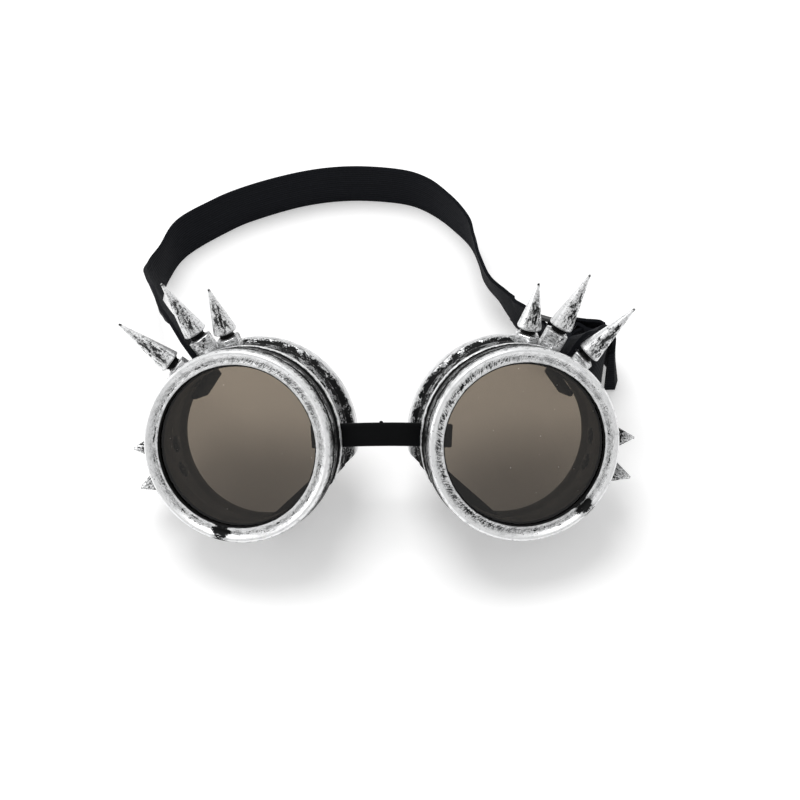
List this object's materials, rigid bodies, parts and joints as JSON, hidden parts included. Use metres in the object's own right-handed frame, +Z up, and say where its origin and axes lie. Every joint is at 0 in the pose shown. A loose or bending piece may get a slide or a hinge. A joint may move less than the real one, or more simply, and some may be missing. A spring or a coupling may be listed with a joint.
{
  "type": "spiked round goggles",
  "caption": "Round steampunk-style goggles with screw-on lens rings, flat tinted lenses, bolted cone spikes and side studs, a flexible nose bridge and an adjustable elastic head strap.",
  "frame": {"origin": "centre of the whole object's bounding box in X and Y, on the surface that it lies on in Z", "axes": "+Z up from the table; -Y towards the side that the lenses face, +Y towards the back of the head strap; +X towards the strap slider, which is beside the right-hand cup in the picture"},
  "size_m": [0.16, 0.157, 0.0645],
  "materials": {
    "antique_silver": "black plastic under worn, brushed silver paint, dark in the grooves",
    "tinted_lens": "clear flat sheet with a brown-grey tint",
    "bridge_rubber": "matt black, flexible",
    "elastic_webbing": "black woven elastic",
    "slider_plastic": "black, satin",
    "screw_steel": "blackened steel"
  },
  "bodies": {
    "right_cup": {"eye_cup_right": "antique_silver", "hex_spacer_outer_right": "antique_silver", "cone_spike_outer_right": "antique_silver", "spike_screw_outer_right": "screw_steel", "hex_spacer_middle_right": "antique_silver", "cone_spike_middle_right": "antique_silver", "spike_screw_middle_right": "screw_steel", "hex_spacer_inner_right": "antique_silver", "cone_spike_inner_right": "antique_silver", "spike_screw_inner_right": "screw_steel", "stud_spacer_upper_right": "antique_silver", "pyramid_stud_upper_right": "antique_silver", "stud_screw_upper_right": "screw_steel", "stud_spacer_lower_right": "antique_silver", "pyramid_stud_lower_right": "antique_silver", "stud_screw_lower_right": "screw_steel", "nose_bridge": "bridge_rubber", "head_strap": "elastic_webbing", "strap_anchor": "elastic_webbing"},
    "left_cup": {"eye_cup_left": "antique_silver", "hex_spacer_outer_left": "antique_silver", "cone_spike_outer_left": "antique_silver", "spike_screw_outer_left": "screw_steel", "hex_spacer_middle_left": "antique_silver", "cone_spike_middle_left": "antique_silver", "spike_screw_middle_left": "screw_steel", "hex_spacer_inner_left": "antique_silver", "cone_spike_inner_left": "antique_silver", "spike_screw_inner_left": "screw_steel", "stud_spacer_upper_left": "antique_silver", "pyramid_stud_upper_left": "antique_silver", "stud_screw_upper_left": "screw_steel", "stud_spacer_lower_left": "antique_silver", "pyramid_stud_lower_left": "antique_silver", "stud_screw_lower_left": "screw_steel"},
    "slider": {"strap_slider": "slider_plastic"},
    "right_lens": {"lens_right": "tinted_lens"},
    "right_ring": {"lens_ring_right": "antique_silver"},
    "left_lens": {"lens_left": "tinted_lens"},
    "left_ring": {"lens_ring_left": "antique_silver"}
  },
  "joints": [
    {"name": "bridge_fold", "type": "hinge", "parent": "right_cup", "child": "left_cup", "pos_m": [0.00232, -0.04825, 0.0351], "axis": [0, 0.7306, 0.6828], "range_deg": [-15, 25], "stiffness_Nm_per_rad": 0.03, "deforming": ["nose_bridge", "head_strap"]},
    {"name": "slider_travel", "type": "slide", "parent": "right_cup", "child": "slider", "axis": [0.9287, -0.3695, 0.03], "range_m": [-0.006, 0.002], "deforming": ["strap_anchor", "head_strap"]},
    {"name": "left_lens_travel", "type": "slide", "parent": "left_cup", "child": "left_lens", "axis": [-0.1771, -0.6457, 0.7428], "range_m": [0, 0.004]},
    {"name": "left_ring_unscrew", "type": "hinge", "parent": "left_lens", "child": "left_ring", "pos_m": [-0.04008, -0.05577, 0.04065], "axis": [-0.1771, -0.6457, 0.7428], "range_deg": [0, 720]},
    {"name": "right_lens_travel", "type": "slide", "parent": "right_cup", "child": "right_lens", "axis": [0.1771, -0.6457, 0.7428], "range_m": [0, 0.004]},
    {"name": "right_ring_unscrew", "type": "hinge", "parent": "right_lens", "child": "right_ring", "pos_m": [0.04472, -0.05577, 0.04065], "axis": [0.1771, -0.6457, 0.7428], "range_deg": [0, 720]}
  ],
  "couplings": [
    {"joint": "left_lens_travel", "follows": "left_ring_unscrew", "m_per_rad": 0.00031831},
    {"joint": "right_lens_travel", "follows": "right_ring_unscrew", "m_per_rad": 0.00031831}
  ]
}
